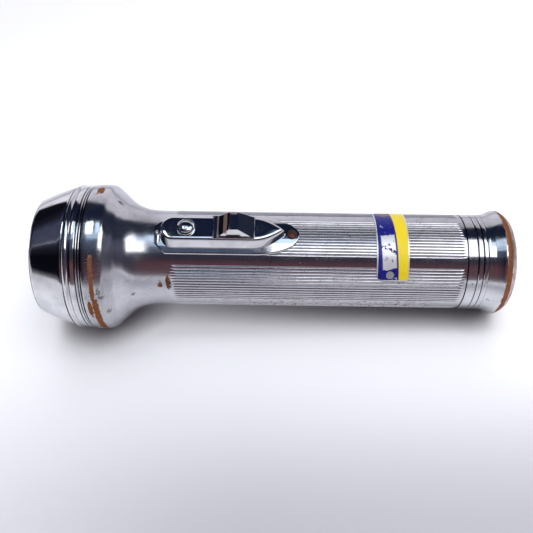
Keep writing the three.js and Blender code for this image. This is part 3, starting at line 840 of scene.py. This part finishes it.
def switch_cover():
    """A hollow rounded housing, cut through for the thumb piece's tongue and for the button."""
    skin = cover_skin()
    count = len(skin[0])
    inner_top = [(x, y, COVER_TOP - 0.9) for x, y in cover_outline(1.1)]
    inner_foot = on_seat(cover_outline(0.9, 0.95))
    vertices = [p for loop in [*skin, inner_top, inner_foot] for p in loop]
    inner = len(skin) * count
    top, foot = inner - count, inner + count
    faces = rows_to_faces(len(skin), count, closed_rows=False)
    faces.append(tuple(top + k for k in range(count)))
    faces.append(tuple(inner + k for k in reversed(range(count))))
    for k in range(count):
        after = (k + 1) % count
        faces.append((inner + k, inner + after, foot + after, foot + k))
        faces.append((foot + k, foot + after, after, k))
    bm = from_faces(vertices, faces)
    piece = finish_mesh("switch_cover", bm, SWITCH, "case", ["switch_housing"])
    slot = block_tool(THUMB_FRONT + 0.5, THUMB_BACK - 4.6, 1.3, 20, 26)
    carve(piece, slot, round_tool(BUTTON_STATION, 2.95, 20, 26))


def thumb():
    """A folded slide: a thin foot with a front lip and a tongue, and a sloped ridge with sunk cheeks."""
    low = COVER_TOP + 0.12
    top = low + 0.45
    half, sunk = 4.7, 0.55
    bm = bmesh.new()

    def box(x0, x1, reach, z0, z1, crown=None):
        corners = []
        for (start, end, wide), z in (((x0, x1, reach), z0), (crown or (x0, x1, reach), z1)):
            corners += [(x, y, z) for x, y in ((start, -wide), (end, -wide), (end, wide), (start, wide))]
        made = [bm.verts.new(TORCH @ (Vector(c) * MM)) for c in corners]
        order = [(0, 3, 2, 1), (4, 5, 6, 7), (0, 1, 5, 4), (1, 2, 6, 5), (2, 3, 7, 6), (3, 0, 4, 7)]
        return [bm.faces.new([made[i] for i in face]) for face in order]

    box(THUMB_FRONT, THUMB_BACK, half, low, top)
    box(THUMB_FRONT, THUMB_FRONT + 0.35, half, top, top + 0.5)
    box(THUMB_FRONT + 6.3, THUMB_BACK - 5.0, 0.9, COVER_TOP - 1.3, low)
    ridge = box(68.1, 81.7, half - 0.08, top, 28.7, crown=(72.8, 76.1, 3.75))
    for cheek in (ridge[2], ridge[4]):
        bmesh.ops.inset_region(bm, faces=[cheek], thickness=sunk * MM, depth=0)
        normal = cheek.normal.copy()
        bmesh.ops.translate(bm, verts=cheek.verts, vec=-normal * sunk * MM)
    piece = finish_mesh("thumb_slide_metal", bm, SWITCH, "thumb", ["switch_thumb"])
    round_edges(piece, 0.24)


def small_switch_parts():
    quarter = [math.pi / 2 * k / 8 for k in range(1, 9)]
    dome = [(2.6, 24.2), *[(2.6 * math.cos(a), 24.2 + math.sin(a)) for a in quarter]]
    button = [(0, 21.95), (3.3, 21.95), (3.3, 22.3), (2.6, 22.3), *dome]
    spun("press_button", BUTTON_STATION, button, 64, SWITCH, "button", ["flash_button"])
    low = COVER_TOP
    turn = [math.pi * k / 8 for k in range(9)]
    collar = [(3.2 + 0.2 * math.cos(a), low + 0.4 + 0.3 * math.sin(a)) for a in turn]
    bead_outline = [(3.0, low), (3.4, low), *collar]
    spun("button_bead", BUTTON_STATION, bead_outline, 64, SWITCH, "case", ["button_collar"])
    rivet_head("nose_rivet", RIVET_STATION, 1.95, 0.62, COPPER_RIVET, "rear_rivet")
    rivet_head("front_bead", BEAD_STATION, 0.85, 0.7, SWITCH, "front_tab")


def rivet_head(name, station, radius, rise, material, node):
    seat = PLATE_RADIUS - 0.05
    turn = [math.pi / 2 * k / 8 for k in range(9)]
    dome = [(radius * math.cos(a) ** 0.8, seat + 0.12 + rise * math.sin(a)) for a in turn[:-1]]
    outline = [(0, 18.0), (0.4, 18.0), (0.4, seat), (radius, seat), *dome, (0, seat + 0.12 + rise)]
    spun(name, station, outline, 48, material, "case", [node])


def corner_trim(radius, distance):
    """How far a rounded corner cuts in at a distance from the sheet's end."""
    if distance >= radius:
        return 0
    return radius - math.sqrt(radius ** 2 - (radius - distance) ** 2)


def label():
    """A thin band round the barrel, with larger rounded corners at its front."""
    half_arc = math.radians(LABEL_HALF_ARC_DEG) * BARREL_RADIUS
    length = LABEL_BACK - LABEL_FRONT
    shares = [0, 0.01, 0.03, 0.06, 0.1]
    shares += [0.1 + 0.8 * k / 40 for k in range(1, 40)]
    shares += [0.9, 0.94, 0.97, 0.99, 1]
    across = [k / 10 for k in range(11)]
    inner, outer = BARREL_RADIUS + 0.1, BARREL_RADIUS + 0.22
    vertices = []
    for radius in (outer, inner):
        for share in shares:
            arc = half_arc * (2 * share - 1)
            angle = arc / BARREL_RADIUS
            front_trim, back_trim = (corner_trim(corner, half_arc - abs(arc)) for corner in (3.2, 1.0))
            for k in across:
                x = LABEL_FRONT + front_trim + (length - front_trim - back_trim) * k
                vertices.append((x, radius * math.sin(angle), radius * math.cos(angle)))
    bm = sheet(vertices, len(shares), len(across))
    finish_mesh("foil_label", bm, LABEL, "case", ["label"])


# ---------------------------------------- tail
def tail_cap():
    def groove(station):
        half = [(0.32, 18.68), (0.16, 18.52)]
        front = [(station - shift, radius) for shift, radius in half]
        back = [(station + shift, radius) for shift, radius in reversed(half)]
        return [*front, (station, 18.42), *back]

    rim = soften([(161.12, 17.85, 0), (161.12, 18.6, 0.15), (162.4, 18.6, 0)])
    lines = [*groove(164.8), (165.5, 18.72), (166.2, 18.72), *groove(166.9), (167.7, 18.72),
             (168.3, 18.68), (168.65, 18.52)]
    flare = spline([(169.0, 18.66), (170.0, 18.76), (171.4, 19.05), (173.2, 19.75), (174.3, 20.22),
                    (175.1, 20.4), (176.0, 20.2), (176.9, 19.75), (177.8, 19.15), (178.6, 18.5),
                    (179.2, 17.7), (LENGTH, 16.6)], 4)
    inside = [(LENGTH, 0), (178.5, 0), (178.5, 15.8), (176.6, 18.1), (175.0, 18.5), (172.2, 17.85)]
    outline = [*rim, *lines, *flare, *inside]
    turned("tail_shell", outline, 192, TAIL, "cap", ["tail_cap"])


lens_ring()
optics()
bulb()
barrel()
saddle_plate()
switch_cover()
thumb()
small_switch_parts()
label()
tail_cap()

carried_over = {
    "bulb_base": BRASS,
    "contact_strip": BRASS,
    "slide_contact": BRASS,
    "spring_disc": BRASS,
    "front_cell_cap": BRASS,
    "rear_cell_cap": BRASS,
    "bulb_retainer": SWITCH,
    "bulb_insulator": PITCH,
    "bulb_contact": ZINC,
    "bulb_filament": STEEL,
    "tail_spring": STEEL,
    "strip_insulator": FIBRE,
    "front_cell_seal": PITCH,
    "rear_cell_seal": PITCH,
    "front_cell_can": ZINC,
    "rear_cell_can": ZINC,
    "front_cell_core": MIX,
    "rear_cell_core": MIX,
    "front_cell_jacket": CARD,
    "rear_cell_jacket": CARD,
}
for node, material in carried_over.items():
    slots = frame["nodes"][node].data.materials
    slots.clear()
    slots.append(material)


# ---------------------------------------- floor, light and camera
def floor():
    """A pale floor, with painted shade in a band before the torch and a painted contact shadow right where the
    torch meets it.
    """
    bm = bmesh.new()
    bmesh.ops.create_grid(bm, x_segments=8, y_segments=8, size=3.0)
    plane = add_object("floor", to_mesh("floor", bm))
    plane.location.z = cad_low.z
    n = Nodes("pale_floor")
    place = n.new("ShaderNodeTexCoord").outputs["Object"]
    x, y, _ = n.new("ShaderNodeSeparateXYZ", Vector=place).outputs
    # Painted shade: the floor's colour darkens in a band in front of the torch, less so towards and beyond its
    # head.
    painted_front_shade = n.times(n.ramp(y, -0.105, 0.0, 1.0, 0.0), n.ramp(y, -0.26, -0.12, 0.45, 1.0))
    shade = n.times(painted_front_shade, n.ramp(x, -0.16, 0.0, 0.45, 1.0))
    grain = n.noise(place, 9.0, 3, 0.5)
    colour = n.mix(shade, (0.93, 0.93, 0.95, 1), (0.40, 0.395, 0.43, 1))
    # Painted contact shadow: the floor's colour darkens where ambient occlusion finds the torch close above it.
    openness = n.new("ShaderNodeAmbientOcclusion", Distance=13 * MM).outputs["AO"]
    colour = n.mix(n.ramp(openness, 0.15, 0.85), (0.12, 0.11, 0.125, 1), colour)
    n.set(Base_Color=colour, Roughness=0.55, Normal=n.bump(grain, 0.02, 0.1))
    plane.data.materials.append(n.owner)


def sky():
    """A pale rounded backdrop all round, seen directly only: it lights and mirrors nothing."""
    bm = bmesh.new()
    bmesh.ops.create_uvsphere(bm, u_segments=64, v_segments=32, radius=1.2)
    dome = add_object("backdrop", to_mesh("backdrop", bm))
    dome.data.shade_smooth()
    for use in ("diffuse", "glossy", "transmission", "volume_scatter", "shadow"):
        setattr(dome, "visible_" + use, False)
    n = Nodes("pale_backdrop")
    place = n.new("ShaderNodeTexCoord").outputs["Object"]
    height = n.new("ShaderNodeSeparateXYZ", Vector=place).outputs[2]
    colour = n.mix(n.ramp(height, 0.0, 0.5), (0.62, 0.62, 0.65, 1), (0.90, 0.90, 0.93, 1))
    n.set(Base_Color=(0, 0, 0, 1), Specular_IOR_Level=0.0, Emission_Color=colour, Emission_Strength=1.0)
    dome.data.materials.append(n.owner)


def window(name, left, right, low_deg, high_deg, radiance, colour, distance=0.43, mirrored=True):
    """A soft light panel along the torch, between two angles up from level in front of it.

    left, right and distance are in metres. The chrome doesn't show a panel that isn't mirrored.
    """
    middle, half = math.radians((low_deg + high_deg) / 2), math.radians((high_deg - low_deg) / 2)
    along, away = Vector((1, 0, 0)), Vector((0, -math.cos(middle), math.sin(middle)))
    light = bpy.data.lights.new(name, "AREA")
    light.shape = "RECTANGLE"
    light.size = right - left
    light.size_y = 2 * distance * math.tan(half)
    light.energy = radiance * math.pi * light.size * light.size_y
    light.color = colour
    lamp = add_object(name, light)
    placing = Matrix((along, away.cross(along), away)).transposed().to_4x4()
    placing.translation = along * (left + right) / 2 + away * distance + Vector((0, 0, 0.025))
    lamp.matrix_world = placing
    lamp.visible_glossy = mirrored


# Colours of the surround by degrees, from level in front, over the top, towards level behind.
MIDDLE_BANDS = [
    (0, (0.22, 0.18, 0.20)),
    (8, (0.15, 0.085, 0.10)),
    (30, (0.13, 0.060, 0.072)),
    (42, (0.042, 0.034, 0.050)),
    (54, (0.044, 0.046, 0.070)),
    (57, (0.09, 0.11, 0.17)),
    (96, (0.09, 0.12, 0.20)),
    (100, (0.009, 0.014, 0.038)),
    (130, (0.009, 0.014, 0.038)),
]
RIGHT_BANDS = [
    (0, (0.20, 0.19, 0.21)),
    (12, (0.07, 0.06, 0.08)),
    (40, (0.05, 0.05, 0.085)),
    (54, (0.09, 0.09, 0.13)),
    (97, (0.08, 0.09, 0.14)),
    (102, (0.020, 0.026, 0.050)),
    (130, (0.020, 0.026, 0.050)),
]
LEFT_BANDS = [
    (0, (0.16, 0.16, 0.18)),
    (9, (0.004, 0.004, 0.008)),
    (46, (0.003, 0.003, 0.006)),
    (64, (0.014, 0.014, 0.022)),
    (73, (0.040, 0.042, 0.065)),
    (75.5, (0.30, 0.30, 0.36)),
    (78, (0.075, 0.082, 0.125)),
    (110, (0.055, 0.060, 0.10)),
    (124, (0.014, 0.014, 0.025)),
    (140, (0.005, 0.005, 0.010)),
]


def bands(n, share, stops):
    """A colour ramp over half a turn, from (degrees, colour) stops."""
    ramp = n.new("ShaderNodeValToRGB", Fac=share)
    elements = ramp.color_ramp.elements
    while len(elements) < len(stops):
        elements.new(0.5)
    for element, (degrees, colour) in zip(elements, stops):
        element.position = degrees / 180
        element.color = (*colour, 1)
    return ramp.outputs[0]


def room():
    """Surround mirrored in the chrome: pale behind, brownish in front, navy above, black to the left."""
    n = Nodes("studio", world=True)
    place = n.new("ShaderNodeTexCoord").outputs["Generated"]
    x, y, z = n.new("ShaderNodeSeparateXYZ", Vector=place).outputs
    turn = n.times(n.math("ARCTAN2", z, n.times(y, -1.0)), 180 / math.pi)
    share = n.math("DIVIDE", turn, 180.0, clamp=True)
    middle = bands(n, share, MIDDLE_BANDS)
    right = bands(n, share, RIGHT_BANDS)
    left = bands(n, share, LEFT_BANDS)
    middle = n.mix(n.ramp(x, 0.2, 0.65), middle, right)
    dim = n.mix(n.ramp(x, -0.5, -0.33), left, middle)
    to_left = n.most(n.times(x, -1.0), 0.0)
    to_right = n.most(x, 0.0)
    left_dip = n.times(n.times(to_left, to_left), n.plus(62.0, n.times(to_left, 26.0)))
    dip = n.plus(left_dip, n.times(n.math("POWER", to_right, 4.0), 55.0))
    backdrop = n.ramp(n.minus(turn, dip), 131.0, 137.0)
    glow = n.times(n.ramp(turn, 135.0, 170.0, 0.72, 1.0), n.ramp(x, -0.45, 0.35, 1.0, 0.76))
    pale = n.mix(glow, (0, 0, 0, 1), (1.02, 1.0, 1.08, 1))
    bpy.context.scene.world = n.set(Color=n.mix(backdrop, dim, pale), Strength=1.0)


def camera():
    """Square on to the torch's axis, 45 degrees up, very slightly turned in its own plane."""
    elevation, roll = math.radians(45), 0.0146
    distance, focal, frame_width = 252.0, 633.0, 533.0
    aim_station, drop = 86.4, 3.09
    level = Vector((0, -1, 0))
    upward = level.cross(AXIS).normalized()
    if upward.z < 0:
        upward = -upward
    back = level * math.cos(elevation) + upward * math.sin(elevation)
    up0 = upward * math.cos(elevation) - level * math.sin(elevation)
    right = AXIS * math.cos(roll) + up0 * math.sin(roll)
    up = up0 * math.cos(roll) - AXIS * math.sin(roll)
    data = bpy.data.cameras.new("camera")
    data.sensor_width = 36
    data.lens = 36 * focal / frame_width
    data.clip_start = 0.01
    eye = add_object("camera", data)
    place = RIM + AXIS * aim_station * MM + back * distance * MM - up * drop * MM
    matrix = Matrix((right, up, back)).transposed().to_4x4()
    matrix.translation = place
    eye.matrix_world = matrix
    bpy.context.scene.camera = eye


floor()
sky()
# The first six panels are what the chrome mirrors as highlights; the two fills only light the scene.
window("window_right", 0.022, 0.62, 56, 79, 2.5, (1.0, 1.0, 1.0))
window("window_right_glow", 0.015, 0.17, 79, 90, 1.3, (0.67, 0.82, 1.0))
window("window_far_right", 0.17, 0.62, 79, 97, 2.3, (0.95, 0.98, 1.0))
window("window_left_glow", -0.20, 0.013, 70, 79, 0.75, (0.62, 0.82, 1.0))
window("window_middle", -0.095, 0.013, 79, 96, 1.35, (0.70, 0.86, 1.0))
window("window_left", -0.215, -0.13, 79, 97, 3.4, (0.93, 0.98, 1.0))
window("overhead_fill", -1.0, 1.0, 85, 140, 2.05, (0.99, 0.985, 1.0), 1.4, mirrored=False)
window("front_fill", -1.0, 0.8, 15, 60, 1.9, (0.99, 0.985, 1.0), 1.3, mirrored=False)
room()
camera()
bpy.context.scene.view_settings.view_transform = "Standard"
